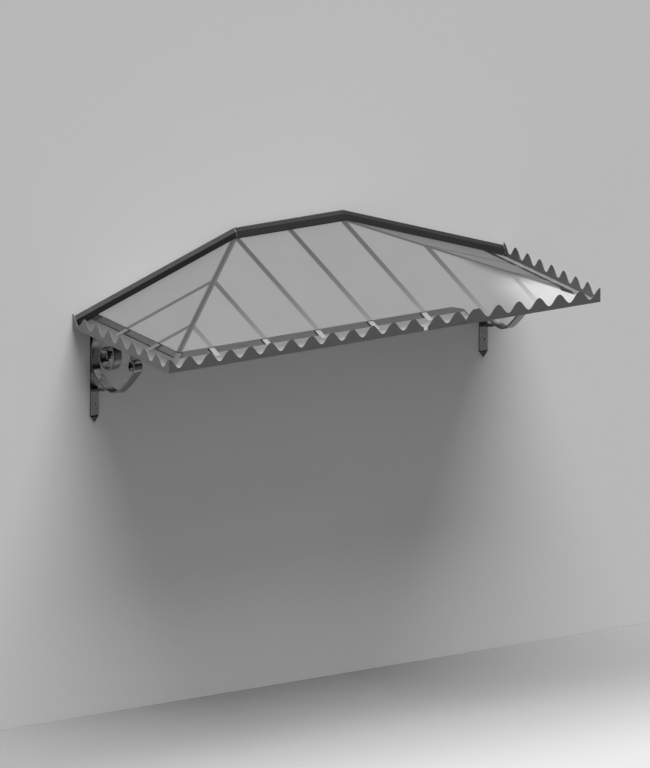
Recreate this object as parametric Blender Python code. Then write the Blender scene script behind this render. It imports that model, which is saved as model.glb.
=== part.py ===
# Hipped entrance awning: a welded flat-bar frame on two scroll brackets, glazed with
# milky sheets, trimmed with an upstanding wavy eave strip and capped along the wall.
#
# Metres, +X along the wall to the right, -Y out from the wall, +Z up. The wall is the
# plane Y = 0. The origin is on the back face of the ridge ledger, at its middle.
import math

import bmesh
import bpy
from mathutils import Vector

# Roof
WIDTH = 2.115            # outer face to outer face of the side strips
DEPTH = 0.800            # from the wall to the outer face of the front strip
RISE = 0.276             # from the eave line up to the ridge, on the bars' top plane

# Clearances
GAP = 0.0003             # between pieces that touch
PANE_JOINT = 0.0010      # from a hip line to the edge of each pane
PANE_CLEAR = 0.0010      # from the wall and from the strip to a pane's edge

# Flat-bar frame
BAR_WIDTH = 0.025        # rafters and hips
BAR_DEPTH = 0.010        # rafters, hips and eave rails
BAR_INSET = 0.020        # from the eave line to the rafters' and hips' ends
HIP_SPARE = 0.1          # share of its length by which a hip is made too long, then cut
RAFTER_PITCH = 0.260     # on the front and on the sides; the ridge is two of these
RAFTER_PAIRS = 3         # pairs of front rafters beside the middle one
SIDE_RAFTERS = 2         # rafters on each side slope
RAIL_WIDTH = 0.024       # level width of the eave rails
RAIL_SINK = 0.0015       # rail's top below the rafters' tops
LAP_DEPTH = 0.0050       # half-lap, below the rafters' tops
LEDGER_THICK = 0.008     # bars flat on the wall
LEDGER_HEIGHT = 0.020
LEDGER_INSET = 0.030     # from the eave line to the side ledgers' ends
LEDGER_SINK = 0.0032     # ledger's top below the rafters' top plane

# Wavy eave strip, folded from sheet
SHEET = 0.002
FLANGE = 0.060           # level width of the flange that lies on the rafters' ends
WAVE_PITCH = 0.100
WAVE_MEAN = 0.038        # mean height of the upstand
WAVE_SWING = 0.0215      # from the mean to a crest
WAVE_STEPS = 10          # stations on each wave
FRONT_LEFT_LENGTH = 1.250
STRIP_SLOT = 0.020       # open slot between the front strips' wavy walls
SPLICE_START = 0.177     # from the right strip's left end to the lapped offcut
SPLICE_LENGTH = 0.100

# Glazing
GLASS = 0.004
GLASS_HOLD = 0.117       # level distance from the eave line to the panes' lower edges
LONG_STEP = 0.0025       # from the splice's middle to the front pane's longer part
LONG_TURN = 0.092        # level distance from the eave at which its long edge starts
LONG_SLANT = 0.044       # X length of the slanted edge beside it

# Wall flashing, folded from sheet
FLASH_SHEET = 0.0015
FLASH_OUT = 0.018        # how far it stands out from the wall
FLASH_TOP = 0.038        # top edge above the panes, at the wall
FLASH_FOLD = 0.026       # front fold above the panes, at the wall
FLASH_FOOT = 0.006       # back leg's lower edge above the panes
FLASH_END = 0.004        # from the side strip's outer face to the flashing's end

# Brackets
BRACKET_INSET = 0.1045   # from a side strip's outer face to the bracket's middle
STRAP_WIDTH = 0.040      # width of every bar of a bracket
STRAP_THICK = 0.008
BAR_SHOULDER = 0.404     # wall bar's shoulder, tip and bolt holes below the eave line
BAR_TIP = 0.430
BOLT_DROPS = (0.060, 0.351)
BOLT_HOLE = 0.014        # diameter
HOLE_SIDES = 20
GROOVE_DEPTH = 0.003     # cut across the bar at its shoulder
GROOVE_WIDTH = 0.011
ARM_HEIGHT = 0.020
ARM_WALL = 0.002
TIE_THICK = 0.010
TIE_OUT = 0.118          # from the wall to the tie's end under the scroll
TIE_DROP = 0.028         # how much lower the tie's wall end is than its front end
HANGER_THICK = 0.012

# Scroll of a bracket, as tangent arcs of its middle line: (radius, degrees of turn)
SCROLL_BACK = 0.046      # straight length that lies against the wall bar
SCROLL_WALL_COIL = ((0.100, 90), (0.084, 90), (0.066, 90), (0.050, 90), (0.038, 90),
                    (0.026, 90), (0.016, 60))
SCROLL_BELLY = ((0.0555, 45), (0.194, 45))
SCROLL_STRUT = ((0.120, 37), (0.950, 10))
SCROLL_FRONT_COIL = ((0.027, 133), (0.025, 90), (0.021, 90), (0.015, 110))
SCROLL_STEP = 9          # most degrees between stations
SCROLL_REACH = 0.012     # longest facet
SCROLL_CREASE = 30       # degrees from which an edge is shaded sharp

# Worked out from the sizes above
HALF = WIDTH / 2
RIDGE = 2 * RAFTER_PITCH
BRACKET_X = HALF - BRACKET_INSET
SIDE_RUN = HALF - RIDGE / 2
HIP_PLAN = math.hypot(SIDE_RUN, DEPTH)
FRONT_ANGLE = math.atan2(RISE, DEPTH)
SIDE_ANGLE = math.atan2(RISE, SIDE_RUN)
RIDGE_Z = LEDGER_SINK + LEDGER_HEIGHT / 2
EAVE_Z = RIDGE_Z - RISE
FLANGE_SINK = SHEET + GAP
LEDGER_FACE = LEDGER_THICK + GAP
STRIP_FACE = SHEET + GAP
RAIL_OUT = FLANGE + GAP
RAIL_IN = RAIL_OUT + RAIL_WIDTH
LEFT_END = FRONT_LEFT_LENGTH - HALF
RIGHT_START = LEFT_END + STRIP_SLOT
SPLICE_FIRST = RIGHT_START + SPLICE_START
SPLICE_LAST = SPLICE_FIRST + SPLICE_LENGTH
LONG_FROM = (SPLICE_FIRST + SPLICE_LAST) / 2 + LONG_STEP
HIP_SIDE = BAR_WIDTH / 2 + GAP
PANE_TOP = GAP + GLASS
ARM_TOP = RAIL_OUT * math.tan(FRONT_ANGLE) - BAR_DEPTH / math.cos(FRONT_ANGLE) - GAP
ARM_UNDER = ARM_TOP - ARM_HEIGHT
BRACKET_OUTER = BRACKET_X + STRAP_WIDTH / 2
WALL_BAR_TOP = ((HALF - BRACKET_OUTER) * math.tan(SIDE_ANGLE)
                - (LEDGER_SINK + LEDGER_HEIGHT) / math.cos(SIDE_ANGLE) - GAP)

# Looks: (colour, roughness, metallic)
STEEL = (0.22, 0.45, 0.6)
STRIP = (0.26, 0.45, 0.6)
FLASHING = (0.05, 0.50, 0.3)
FORGED = (0.10, 0.40, 0.7)
MILKY = (0.80, 0.40, 0.0)


class Slope:
    """One roof slope. Points are given as along, run and above: level distance along
    the eave, level distance from the ridge line, and height square to the slope."""

    def __init__(self, out, along, start, run, angle):
        self.out = Vector(out)
        self.along = Vector(along)
        self.start = Vector(start)
        self.run = run
        self.angle = angle

    def at(self, along, run, above):
        """A point whose plan position is exact, above measured square to the slope."""
        rise = above / math.cos(self.angle) - run * math.tan(self.angle)
        return self.start + self.along * along + self.out * run + Vector((0, 0, rise))


FRONT = Slope((0, -1, 0), (1, 0, 0), (0, 0, RIDGE_Z), DEPTH, FRONT_ANGLE)
SIDES = {
    "left": Slope((-1, 0, 0), (0, -1, 0), (-RIDGE / 2, 0, RIDGE_Z), SIDE_RUN, SIDE_ANGLE),
    "right": Slope((1, 0, 0), (0, -1, 0), (RIDGE / 2, 0, RIDGE_Z), SIDE_RUN, SIDE_ANGLE),
}


def hip_beside(run, offset):
    """Distance past the ridge end, on the front slope, of a line beside the hip."""
    return (run * SIDE_RUN - offset * HIP_PLAN) / DEPTH


def hip_below(beyond, offset):
    """Level distance from the wall of a line beside the hip, beyond the ridge end."""
    return (beyond * DEPTH + offset * HIP_PLAN) / SIDE_RUN


def clear_scene():
    for item in list(bpy.data.objects):
        bpy.data.objects.remove(item, do_unlink=True)


def material(name, look):
    grey, roughness, metallic = look
    made = bpy.data.materials.new(name)
    made.use_nodes = True
    shader = made.node_tree.nodes["Principled BSDF"]
    shader.inputs["Base Color"].default_value = (grey, grey, grey, 1)
    shader.inputs["Roughness"].default_value = roughness
    shader.inputs["Metallic"].default_value = metallic
    made.diffuse_color = (grey, grey, grey, 1)
    return made


def finish(name, bm, look):
    """Turn a closed bmesh into the named object with its own material."""
    bmesh.ops.recalc_face_normals(bm, faces=bm.faces)
    mesh = bpy.data.meshes.new(name)
    bm.to_mesh(mesh)
    bm.free()
    mesh.materials.append(material(name, look))
    obj = bpy.data.objects.new(name, mesh)
    bpy.context.scene.collection.objects.link(obj)
    return obj


def loft(rings):
    """A solid skinned over rings that have the same number of points."""
    bm = bmesh.new()
    rows = [[bm.verts.new(p) for p in ring] for ring in rings]
    for low, high in zip(rows, rows[1:]):
        for i, vert in enumerate(low):
            j = (i + 1) % len(low)
            bm.faces.new((vert, low[j], high[j], high[i]))
    bm.faces.new(rows[0])
    bm.faces.new(tuple(reversed(rows[-1])))
    return bm


def clip(bm, point, normal):
    """Cut away what lies on the normal's side of a plane, and cap the cut."""
    bmesh.ops.triangulate(bm, faces=bm.faces)
    parts = list(bm.verts) + list(bm.edges) + list(bm.faces)
    cut = bmesh.ops.bisect_plane(bm, geom=parts, dist=1e-7, plane_co=point,
                                 plane_no=normal, clear_outer=True)
    rim = [item for item in cut["geom_cut"] if isinstance(item, bmesh.types.BMEdge)]
    bmesh.ops.holes_fill(bm, edges=rim, sides=0)


def combine(target, tool, operation):
    """Leave an exact Boolean on the target, with the tool as a hidden helper."""
    step = target.modifiers.new(operation.lower(), "BOOLEAN")
    step.operation = operation
    step.solver = "EXACT"
    step.object = tool
    tool.hide_render = True
    tool.display_type = "WIRE"


def bar_outline(slope, start):
    """Side outline of a rafter as (run, above): rebated end, half-lap over the rail."""
    rebate = slope.run - RAIL_OUT
    lap_in = slope.run - RAIL_IN - GAP
    end = slope.run - BAR_INSET
    return [(start, 0), (rebate, 0), (rebate, -FLANGE_SINK), (end, -FLANGE_SINK),
            (end, -BAR_DEPTH), (rebate + GAP, -BAR_DEPTH), (rebate + GAP, -LAP_DEPTH),
            (lap_in, -LAP_DEPTH), (lap_in, -BAR_DEPTH), (start, -BAR_DEPTH)]


def rafter(name, slope, along, start_at):
    """A flat bar down a slope. start_at gives its upper end's run for each edge."""
    rings = []
    for edge in (along - BAR_WIDTH / 2, along + BAR_WIDTH / 2):
        outline = bar_outline(slope, start_at(edge))
        rings.append([slope.at(edge, run, above) for run, above in outline])
    return loft(rings)


def build_front_rafters():
    for step in range(-RAFTER_PAIRS, RAFTER_PAIRS + 1):
        along = step * RAFTER_PITCH
        name = f"front_rafter_{step + RAFTER_PAIRS + 1}"
        jack = abs(along) - BAR_WIDTH / 2 > RIDGE / 2

        def start_at(edge):
            if jack:
                return hip_below(abs(edge) - RIDGE / 2, HIP_SIDE)
            return LEDGER_FACE

        bm = rafter(name, FRONT, along, start_at)
        for slope in SIDES.values():
            if not jack:
                above = slope.out * math.sin(slope.angle) + Vector((0, 0, math.cos(slope.angle)))
                clip(bm, slope.start, above)
        finish(name, bm, STEEL)


def build_side_rafters():
    for side, slope in SIDES.items():
        for step in range(1, SIDE_RAFTERS + 1):
            name = f"{side}_side_rafter_{step}"
            bm = rafter(name, slope, step * RAFTER_PITCH,
                        lambda edge: hip_beside(edge, -HIP_SIDE))
            finish(name, bm, STEEL)


def build_hips():
    """Hip bars with a backed top, fitted between the ridge-end rafters and the corners."""
    for side, slope in SIDES.items():
        hand = slope.out.x
        run_line = Vector((hand * SIDE_RUN, -DEPTH, -RISE))
        to_front = Vector((-hand * DEPTH, -SIDE_RUN, 0)) / HIP_PLAN
        fall = BAR_WIDTH / 2 * SIDE_RUN / HIP_PLAN * math.tan(FRONT_ANGLE)
        section = [(0, 0), (BAR_WIDTH / 2, -fall), (BAR_WIDTH / 2, -fall - BAR_DEPTH),
                   (-BAR_WIDTH / 2, -fall - BAR_DEPTH), (-BAR_WIDTH / 2, -fall)]
        rings = []
        for share in (-HIP_SPARE, 1 + HIP_SPARE):
            base = slope.start + run_line * share
            rings.append([base + to_front * across + Vector((0, 0, up))
                          for across, up in section])
        bm = loft(rings)
        rafter_side = hand * (RIDGE / 2 + HIP_SIDE)
        clip(bm, Vector((rafter_side, 0, 0)), Vector((-hand, 0, 0)))
        clip(bm, Vector((0, -LEDGER_FACE, 0)), Vector((0, 1, 0)))
        clip(bm, Vector((hand * (HALF - BAR_INSET), 0, 0)), Vector((hand, 0, 0)))
        clip(bm, Vector((0, BAR_INSET - DEPTH, 0)), Vector((0, -1, 0)))
        finish(f"{side}_hip", bm, STEEL)


def rail_outline(first, last, crossings):
    """Outline of a rail as (along, above), notched from above at each crossing bar."""
    low = -BAR_DEPTH
    top = -RAIL_SINK
    half = BAR_WIDTH / 2 + GAP
    outline = [(last, low), (first, low), (first, top)]
    for crossing in crossings:
        outline += [(crossing - half, top), (crossing - half, -LAP_DEPTH - GAP),
                    (crossing + half, -LAP_DEPTH - GAP), (crossing + half, top)]
    outline.append((last, top))
    return outline


def build_rails():
    """Eave rails, flush between the rafters and half-lapped under them."""
    crossings = [step * RAFTER_PITCH for step in range(-RAFTER_PAIRS, RAFTER_PAIRS + 1)]
    rings = []
    for inset in (RAIL_IN, RAIL_OUT):
        end = RIDGE / 2 + hip_beside(DEPTH - inset, HIP_SIDE)
        rings.append([FRONT.at(along, DEPTH - inset, above)
                      for along, above in rail_outline(-end, end, crossings)])
    finish("front_eave_rail", loft(rings), STEEL)
    crossings = [step * RAFTER_PITCH for step in range(1, SIDE_RAFTERS + 1)]
    for side, slope in SIDES.items():
        rings = []
        for inset in (RAIL_IN, RAIL_OUT):
            end = hip_below(SIDE_RUN - inset, -HIP_SIDE)
            rings.append([slope.at(along, SIDE_RUN - inset, above)
                          for along, above in rail_outline(LEDGER_FACE, end, crossings)])
        finish(f"{side}_eave_rail", loft(rings), STEEL)


def wall_section(section, hand, end_x):
    """Rings of a piece along the wall, section as (out, up). Hand 0 is the level piece,
    mitred at both ridge ends; otherwise a sloping piece that ends plumb at end_x."""
    mitre = math.tan(SIDE_ANGLE / 2)
    rings = [[], []]
    for out, up in section:
        if hand == 0:
            reach = RIDGE / 2 + up * mitre - GAP / 2
            rings[0].append(Vector((-reach, -out, RIDGE_Z + up)))
            rings[1].append(Vector((reach, -out, RIDGE_Z + up)))
            continue
        first = -up * mitre + GAP / 2
        last = (end_x - RIDGE / 2 - up * math.sin(SIDE_ANGLE)) / math.cos(SIDE_ANGLE)
        for ring, length in zip(rings, (first, last)):
            x = RIDGE / 2 + length * math.cos(SIDE_ANGLE) + up * math.sin(SIDE_ANGLE)
            z = RIDGE_Z - length * math.sin(SIDE_ANGLE) + up * math.cos(SIDE_ANGLE)
            ring.append(Vector((hand * x, -out, z)))
    return rings


def build_ledgers():
    low = -LEDGER_SINK - LEDGER_HEIGHT
    section = [(0, -LEDGER_SINK), (LEDGER_THICK, -LEDGER_SINK), (LEDGER_THICK, low), (0, low)]
    for name, hand in (("left_ledger", -1), ("ridge_ledger", 0), ("right_ledger", 1)):
        finish(name, loft(wall_section(section, hand, HALF - LEDGER_INSET)), STEEL)


def flashing_section(foot):
    """Folded sheet as (out, up): back leg on the wall, sloping top, front leg."""
    base = PANE_TOP + GAP
    top = base + FLASH_TOP
    fold = base + FLASH_FOLD
    tilt = (FLASH_TOP - FLASH_FOLD) / FLASH_OUT
    under = FLASH_SHEET * math.hypot(1, tilt)
    inner_top = top - under - FLASH_SHEET * tilt
    inner_fold = top - under - (FLASH_OUT - FLASH_SHEET) * tilt
    return [(0, base + FLASH_FOOT), (0, top), (FLASH_OUT, fold), (FLASH_OUT, foot),
            (FLASH_OUT - FLASH_SHEET, foot), (FLASH_OUT - FLASH_SHEET, inner_fold),
            (FLASH_SHEET, inner_top), (FLASH_SHEET, base + FLASH_FOOT)]


def build_flashings():
    level_foot = (PANE_TOP + GAP) / math.cos(FRONT_ANGLE)
    level_foot -= (FLASH_OUT - FLASH_SHEET) * math.tan(FRONT_ANGLE)
    for name, hand, foot in (("left_flashing", -1, PANE_TOP + GAP),
                             ("ridge_flashing", 0, level_foot),
                             ("right_flashing", 1, PANE_TOP + GAP)):
        rings = wall_section(flashing_section(foot), hand, HALF - FLASH_END)
        finish(name, loft(rings), FLASHING)


def pane(name, slope, outline):
    """A flat sheet on the bars, outline as (along, run)."""
    rings = [[slope.at(along, run, above) for along, run in outline]
             for above in (GAP, PANE_TOP)]
    finish(name, loft(rings), MILKY)


def build_panes():
    hold = DEPTH - GLASS_HOLD
    reach = DEPTH - STRIP_FACE - PANE_CLEAR
    top = RIDGE / 2 + hip_beside(PANE_CLEAR, PANE_JOINT)
    pane("front_pane", FRONT, [
        (-top, PANE_CLEAR), (top, PANE_CLEAR),
        (RIDGE / 2 + hip_beside(reach, PANE_JOINT), reach), (LONG_FROM, reach),
        (LONG_FROM, DEPTH - LONG_TURN), (LONG_FROM - LONG_SLANT, hold),
        (-RIDGE / 2 - hip_beside(hold, PANE_JOINT), hold)])
    side_hold = SIDE_RUN - GLASS_HOLD
    for side, slope in SIDES.items():
        pane(f"{side}_pane", slope, [
            (PANE_CLEAR, hip_beside(PANE_CLEAR, -PANE_JOINT)),
            (PANE_CLEAR, side_hold), (hip_below(side_hold, -PANE_JOINT), side_hold)])


def wave_height(from_crest):
    return WAVE_MEAN + WAVE_SWING * math.cos(2 * math.pi * from_crest / WAVE_PITCH)


def upstand(slope, first, last, crest, mitres, faces=(0, SHEET)):
    """Wavy wall of a strip between two places along the eave. A mitred end is cut at
    45 degrees. Faces are the level distances of its two faces inside the eave line."""
    low = -SHEET / math.cos(slope.angle)
    count = math.ceil((last - first) / (WAVE_PITCH / WAVE_STEPS))
    rings = []
    for i in range(count + 1):
        along = first + (last - first) * i / count
        ring = []
        top = wave_height(along - crest)
        for inset, high in ((faces[0], False), (faces[0], True), (faces[1], True),
                            (faces[1], False)):
            place = along
            if i == 0 and mitres[0]:
                place += inset + GAP
            if i == count and mitres[1]:
                place -= inset + GAP
            point = slope.at(place, slope.run - inset, 0)
            point.z = EAVE_Z + (top if high else low)
            ring.append(point)
        rings.append(ring)
    return loft(rings)


def flange(slope, corners):
    """Flat flange on the rafters' ends, let halfway into the wavy wall."""
    return loft([[slope.at(along, run, above) for along, run in corners]
                 for above in (-SHEET, 0)])


def strip(name, slope, first, last, crest, mitres, corners):
    body = finish(name, upstand(slope, first, last, crest, mitres), STRIP)
    tool = finish(f"{name}_flange", flange(slope, corners), STRIP)
    combine(body, tool, "UNION")


def build_strips():
    root = DEPTH - SHEET / 2
    edge = DEPTH - FLANGE
    root_x = RIDGE / 2 + hip_beside(root, HIP_SIDE)
    edge_x = RIDGE / 2 + hip_beside(edge, HIP_SIDE)
    joint = RIGHT_START - GAP
    strip("front_strip_left", FRONT, -HALF, LEFT_END, -HALF, (True, False),
          [(-root_x, root), (joint, root), (joint, edge), (-edge_x, edge)])
    strip("front_strip_right", FRONT, RIGHT_START, HALF, HALF, (False, True),
          [(RIGHT_START, root), (root_x, root), (edge_x, edge), (RIGHT_START, edge)])
    side_root = SIDE_RUN - SHEET / 2
    side_edge = SIDE_RUN - FLANGE
    for side, slope in SIDES.items():
        strip(f"{side}_strip", slope, 0, DEPTH, DEPTH, (False, True),
              [(0, side_root), (hip_below(side_root, -HIP_SIDE), side_root),
               (hip_below(side_edge, -HIP_SIDE), side_edge), (0, side_edge)])
    bm = upstand(FRONT, SPLICE_FIRST, SPLICE_LAST, (SPLICE_FIRST + SPLICE_LAST) / 2,
                 (False, False), (-GAP, -GAP - SHEET))
    finish("strip_splice", bm, STRIP)


def box(x_range, out_range, z_range):
    rings = []
    for x in x_range:
        rings.append([Vector((x, -out, z)) for out, z in
                      ((out_range[0], z_range[0]), (out_range[1], z_range[0]),
                       (out_range[1], z_range[1]), (out_range[0], z_range[1]))])
    return loft(rings)


def build_wall_bar(side, x):
    """Flat bar on the wall with a pointed foot, a cross groove and two bolt holes."""
    top = EAVE_Z + WALL_BAR_TOP
    shoulder = EAVE_Z - BAR_SHOULDER
    tip = EAVE_Z - BAR_TIP
    half = STRAP_WIDTH / 2
    outline = [(-half, top), (half, top), (half, shoulder), (0, tip), (-half, shoulder)]
    rings = [[Vector((x + across, -out, z)) for across, z in outline]
             for out in (0, STRAP_THICK)]
    bar = finish(f"{side}_wall_bar", loft(rings), FORGED)
    rings = []
    for across in (-STRAP_WIDTH, STRAP_WIDTH):
        rings.append([Vector((x + across, -STRAP_THICK - out, shoulder + up)) for out, up in
                      ((GROOVE_DEPTH, GROOVE_WIDTH / 2), (GROOVE_DEPTH, -GROOVE_WIDTH / 2),
                       (-GROOVE_DEPTH, 0))])
    combine(bar, finish(f"{side}_groove_cutter", loft(rings), FORGED), "DIFFERENCE")
    for number, drop in enumerate(BOLT_DROPS):
        rings = []
        for out in (-STRAP_THICK, 2 * STRAP_THICK):
            ring = []
            for i in range(HOLE_SIDES):
                turn = 2 * math.pi * i / HOLE_SIDES
                ring.append(Vector((x + BOLT_HOLE / 2 * math.cos(turn), -out,
                                    EAVE_Z - drop + BOLT_HOLE / 2 * math.sin(turn))))
            rings.append(ring)
        cutter = finish(f"{side}_hole_cutter_{number}", loft(rings), FORGED)
        combine(bar, cutter, "DIFFERENCE")


def build_arm(side, x):
    """Rectangular tube under the roof, from the wall bar to under the front rail."""
    rings = []
    out_end = DEPTH - RAIL_OUT
    for out in (LEDGER_FACE, out_end):
        for inset in (0, ARM_WALL):
            half = STRAP_WIDTH / 2 - inset
            low = EAVE_Z + ARM_UNDER + inset
            high = EAVE_Z + ARM_TOP - inset
            rings.append([Vector((x + across, -out, z)) for across, z in
                          ((-half, low), (half, low), (half, high), (-half, high))])
    bm = bmesh.new()
    rows = [[bm.verts.new(p) for p in ring] for ring in rings]
    order = (0, 1, 3, 2, 0)
    for a, b in zip(order, order[1:]):
        for i in range(4):
            j = (i + 1) % 4
            bm.faces.new((rows[a][i], rows[a][j], rows[b][j], rows[b][i]))
    finish(f"{side}_arm", bm, FORGED)


def walk(point, heading, arcs, hand):
    """Points along tangent arcs. Hand is 1 for a turn to the left, -1 to the right.
    Returns (out, height, heading) stations and each arc's centre."""
    out, up = point
    stations = []
    centres = []
    for radius, degrees in arcs:
        side = heading + hand * math.pi / 2
        centre = (out + radius * math.cos(side), up + radius * math.sin(side))
        centres.append(centre)
        length = radius * math.radians(degrees)
        count = math.ceil(max(degrees / SCROLL_STEP, length / SCROLL_REACH))
        for i in range(1, count + 1):
            now = heading + hand * math.radians(degrees) * i / count
            back = now - hand * math.pi / 2
            out = centre[0] + radius * math.cos(back)
            up = centre[1] + radius * math.sin(back)
            stations.append((out, up, now))
        heading = stations[-1][2]
    return stations, centres


def scroll_line():
    """Stations of the scroll's middle line from the wall coil's eye to the front coil's
    eye. Also the middle of its lower bend and the top of its front coil."""
    face = LEDGER_FACE + STRAP_THICK / 2
    touch = ARM_UNDER - GAP - STRAP_THICK / 2
    high = (face, touch - SCROLL_WALL_COIL[0][0])
    low = (face, high[1] - SCROLL_BACK)
    coil, _ = walk(high, math.pi / 2, SCROLL_WALL_COIL, -1)
    belly, bends = walk(low, -math.pi / 2, SCROLL_BELLY, 1)
    strut, _ = walk(belly[-1][:2], belly[-1][2], SCROLL_STRUT, 1)
    front, centres = walk(strut[-1][:2], strut[-1][2], SCROLL_FRONT_COIL, 1)
    line = [(out, up, now + math.pi) for out, up, now in reversed(coil)]
    line += [high + (-math.pi / 2,), low + (-math.pi / 2,)] + belly + strut + front
    crown = (centres[0][0], centres[0][1] + SCROLL_FRONT_COIL[0][0])
    return line, bends[-1], crown


def build_scroll(side, x, line):
    """A flat bar bent along the middle line."""
    rings = []
    half = STRAP_WIDTH / 2
    for out, up, heading in line:
        across = (-math.sin(heading) * STRAP_THICK / 2, math.cos(heading) * STRAP_THICK / 2)
        ring = []
        for sign, shift in ((1, -half), (1, half), (-1, half), (-1, -half)):
            ring.append(Vector((x + shift, -(out + sign * across[0]),
                                EAVE_Z + up + sign * across[1])))
        rings.append(ring)
    obj = finish(f"{side}_scroll", loft(rings), FORGED)
    obj.data.shade_smooth()
    obj.data.set_sharp_from_angle(angle=math.radians(SCROLL_CREASE))


def build_links(side, x, bend, crown):
    """Tie from the wall bar to under the scroll, and hanger from the arm to its coil."""
    half = STRAP_WIDTH / 2
    reach = SCROLL_BELLY[-1][0] + STRAP_THICK / 2 + GAP
    top = bend[1] - math.sqrt(reach ** 2 - (bend[0] - TIE_OUT) ** 2)
    outline = [(LEDGER_FACE, top - TIE_DROP), (TIE_OUT, top),
               (TIE_OUT, top - TIE_THICK), (LEDGER_FACE, top - TIE_DROP - TIE_THICK)]
    rings = [[Vector((x + shift, -out, EAVE_Z + up)) for out, up in outline]
             for shift in (-half, half)]
    finish(f"{side}_tie", loft(rings), FORGED)
    foot = crown[1] + STRAP_THICK / 2 + GAP
    finish(f"{side}_hanger", box((x - half, x + half),
                                 (crown[0] - HANGER_THICK / 2, crown[0] + HANGER_THICK / 2),
                                 (EAVE_Z + foot, EAVE_Z + ARM_UNDER - GAP)), FORGED)


def build_brackets():
    line, bend, crown = scroll_line()
    for side, slope in SIDES.items():
        x = slope.out.x * BRACKET_X
        build_wall_bar(side, x)
        build_arm(side, x)
        build_scroll(side, x, line)
        build_links(side, x, bend, crown)


def main():
    clear_scene()
    build_ledgers()
    build_front_rafters()
    build_side_rafters()
    build_hips()
    build_rails()
    build_panes()
    build_strips()
    build_flashings()
    build_brackets()


main()
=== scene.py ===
import math
from typing import NamedTuple

import bmesh
import bpy
from bpy.props import FloatProperty, FloatVectorProperty, IntProperty, PointerProperty
from bpy.types import Operator, Panel, PropertyGroup
from mathutils import Matrix, Vector


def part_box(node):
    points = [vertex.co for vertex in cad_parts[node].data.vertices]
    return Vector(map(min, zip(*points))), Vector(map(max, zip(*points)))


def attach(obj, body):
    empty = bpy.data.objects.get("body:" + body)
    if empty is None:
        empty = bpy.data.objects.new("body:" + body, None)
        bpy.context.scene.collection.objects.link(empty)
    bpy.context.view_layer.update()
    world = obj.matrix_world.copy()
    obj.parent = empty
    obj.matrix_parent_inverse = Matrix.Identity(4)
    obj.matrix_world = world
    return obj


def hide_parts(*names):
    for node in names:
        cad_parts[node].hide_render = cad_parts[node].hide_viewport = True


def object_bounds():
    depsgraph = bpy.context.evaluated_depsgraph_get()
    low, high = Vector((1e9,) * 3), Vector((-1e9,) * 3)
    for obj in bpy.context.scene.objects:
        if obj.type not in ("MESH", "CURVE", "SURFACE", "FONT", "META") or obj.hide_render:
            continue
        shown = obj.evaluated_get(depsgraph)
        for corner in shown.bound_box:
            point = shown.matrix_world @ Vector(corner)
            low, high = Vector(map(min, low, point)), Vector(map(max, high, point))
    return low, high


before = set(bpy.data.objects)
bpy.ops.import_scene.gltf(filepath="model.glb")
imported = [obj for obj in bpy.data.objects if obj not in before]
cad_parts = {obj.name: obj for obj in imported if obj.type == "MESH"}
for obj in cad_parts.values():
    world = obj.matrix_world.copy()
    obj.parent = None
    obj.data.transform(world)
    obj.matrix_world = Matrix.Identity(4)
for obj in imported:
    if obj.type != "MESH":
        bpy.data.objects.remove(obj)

bl_info = {
    "name": "Hipped awning looks",
    "version": (1, 0, 0),
    "blender": (4, 5, 0),
    "location": "View3D > Sidebar > Awning",
    "description": "Finishes, wavy eave strips, scrolls and stage of a hipped entrance awning",
    "category": "Object",
}

# Sizes of the awning, in metres. X runs along the wall, which is at Y = 0, and Y falls outwards.
RISE = 0.276             # from the eave line up to the ridge
RIDGE = 0.520            # length of the ridge
RAFTER_PITCH = 0.260
BAR_HALF = 0.0125        # half of a roof bar's width
SHEET = 0.002            # thickness of a strip
GAP = 0.0003             # between pieces that touch
HIP_SIDE = 0.0128        # from the hip line to what ends beside a hip bar
FLASH_END = 0.004        # from the side strip's outer face to the flashing's end
WALL_FACE = 0.0083       # from the wall to the back of what is fixed to the wall bars

# Sizes that the frame gives, and what follows from them
CAD_LOW, CAD_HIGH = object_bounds()
HALF = CAD_HIGH.x        # half of the width
DEPTH = -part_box("front_strip_right")[0].y
SIDE_RUN = HALF - RIDGE / 2
HIP_PLAN = math.hypot(SIDE_RUN, DEPTH)
FRONT_ANGLE = math.atan2(RISE, DEPTH)
SIDE_ANGLE = math.atan2(RISE, SIDE_RUN)
EAVE_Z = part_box("left_strip")[0].z + SHEET / math.cos(SIDE_ANGLE)
RIDGE_Z = EAVE_Z + RISE
BRACKET_X = (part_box("right_wall_bar")[0].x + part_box("right_wall_bar")[1].x) / 2
ARM_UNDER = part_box("right_arm")[0].z

# Tangent arcs of a scroll's middle line: (radius, degrees of turn)
WALL_COIL = ((0.100, 90), (0.084, 90), (0.066, 90), (0.050, 90), (0.038, 90),
             (0.026, 90), (0.016, 60))
BELLY = ((0.0555, 45), (0.194, 45))
STRUT = ((0.120, 37), (0.950, 10))
FRONT_COIL = ((0.027, 133), (0.025, 90), (0.021, 90), (0.015, 110))
ARC_STEP = 3             # degrees between points
SCROLL_BACK = 0.046      # straight length on the wall bar
EDGE_STEPS = 3           # points in each rounded edge of the bar

MERGE = 1e-6             # points nearer than this become one
# Angles past which an edge stays sharp
STRIP_CREASE = math.radians(30)
SCROLL_CREASE = math.radians(35)


class Coat(NamedTuple):
    """Plain values of a surface."""
    metallic: float
    specular: float
    clouding: float      # how far the tone drifts
    roughness: float
    grain: float         # scale of the fine grain
    height: float        # of the grain


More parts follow.
